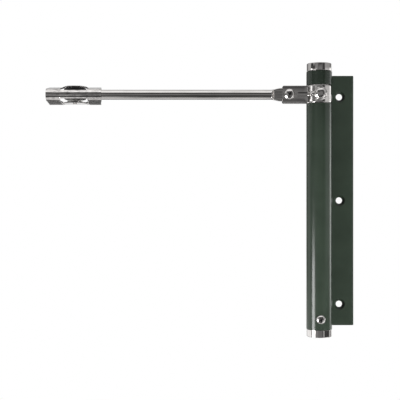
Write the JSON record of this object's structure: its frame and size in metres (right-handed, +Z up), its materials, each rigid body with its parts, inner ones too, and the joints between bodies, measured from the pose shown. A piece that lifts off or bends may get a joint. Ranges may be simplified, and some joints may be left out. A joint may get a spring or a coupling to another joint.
{
  "type": "spring door closer",
  "caption": "Surface-mounted spring door closer: a lacquered spring barrel with a drilled side flange, and a chromed arm that swings on it and ends in a roller that runs on the door.",
  "frame": {"origin": "centre of the middle screw hole, on the flange's back face", "axes": "+X towards the flange's free edge, the arm points to -X at rest; +Y out of the flange's back, into the door frame; +Z up along the barrel, towards the arm"},
  "size_m": [0.2655, 0.031, 0.2351],
  "materials": {
    "green_lacquer": "satin dark green lacquer on aluminium",
    "chrome_plate": "bright nickel-chromium plate",
    "zinc_steel": "bright zinc plate",
    "shaft_steel": "turned steel",
    "spring_steel": "oiled spring wire",
    "bush_bronze": "sintered bronze",
    "black_nylon": "moulded black nylon"
  },
  "bodies": {
    "barrel_unit": {"barrel": "green_lacquer", "top_cap": "chrome_plate", "upper_bush": "bush_bronze", "lower_bush": "bush_bronze", "thrust_washer": "zinc_steel", "torsion_spring": "spring_steel"},
    "adjuster": {"tension_adjuster": "chrome_plate"},
    "locking_screw": {"lock_screw": "chrome_plate"},
    "arm_head": {"spindle": "shaft_steel", "spring_anchor": "shaft_steel", "anchor_pin": "shaft_steel", "clamp_strap": "chrome_plate", "clamp_screw": "chrome_plate", "ear_screw": "chrome_plate", "ear_washer": "zinc_steel", "ear_nut": "zinc_steel"},
    "arm": {"arm_rod": "chrome_plate", "roller_yoke": "chrome_plate", "roller_axle": "chrome_plate", "axle_washer": "zinc_steel"},
    "roller_wheel": {"roller": "black_nylon", "roller_bush": "bush_bronze"}
  },
  "joints": [
    {"name": "arm_swing", "type": "hinge", "parent": "barrel_unit", "child": "arm_head", "pos_m": [-0.0185, -0.011, 0.091], "axis": [0, 0, 1], "range_deg": [-15, 100], "stiffness_Nm_per_rad": 0.5, "deforming": ["torsion_spring"]},
    {"name": "arm_tilt", "type": "hinge", "parent": "arm_head", "child": "arm", "pos_m": [-0.0443, -0.011, 0.091], "axis": [0, 1, 0], "range_deg": [-8, 8]},
    {"name": "roller_spin", "type": "hinge", "parent": "arm", "child": "roller_wheel", "pos_m": [-0.2293, -0.0034, 0.091], "axis": [0, 0, 1], "continuous": true},
    {"name": "tension_turn", "type": "hinge", "parent": "barrel_unit", "child": "adjuster", "pos_m": [-0.0185, -0.011, -0.101], "axis": [0, 0, 1], "range_deg": [-360, 360]},
    {"name": "lock_screw_turn", "type": "hinge", "parent": "barrel_unit", "child": "locking_screw", "pos_m": [-0.0185, -0.022, -0.101], "axis": [0, -1, 0], "range_deg": [0, 360]}
  ]
}
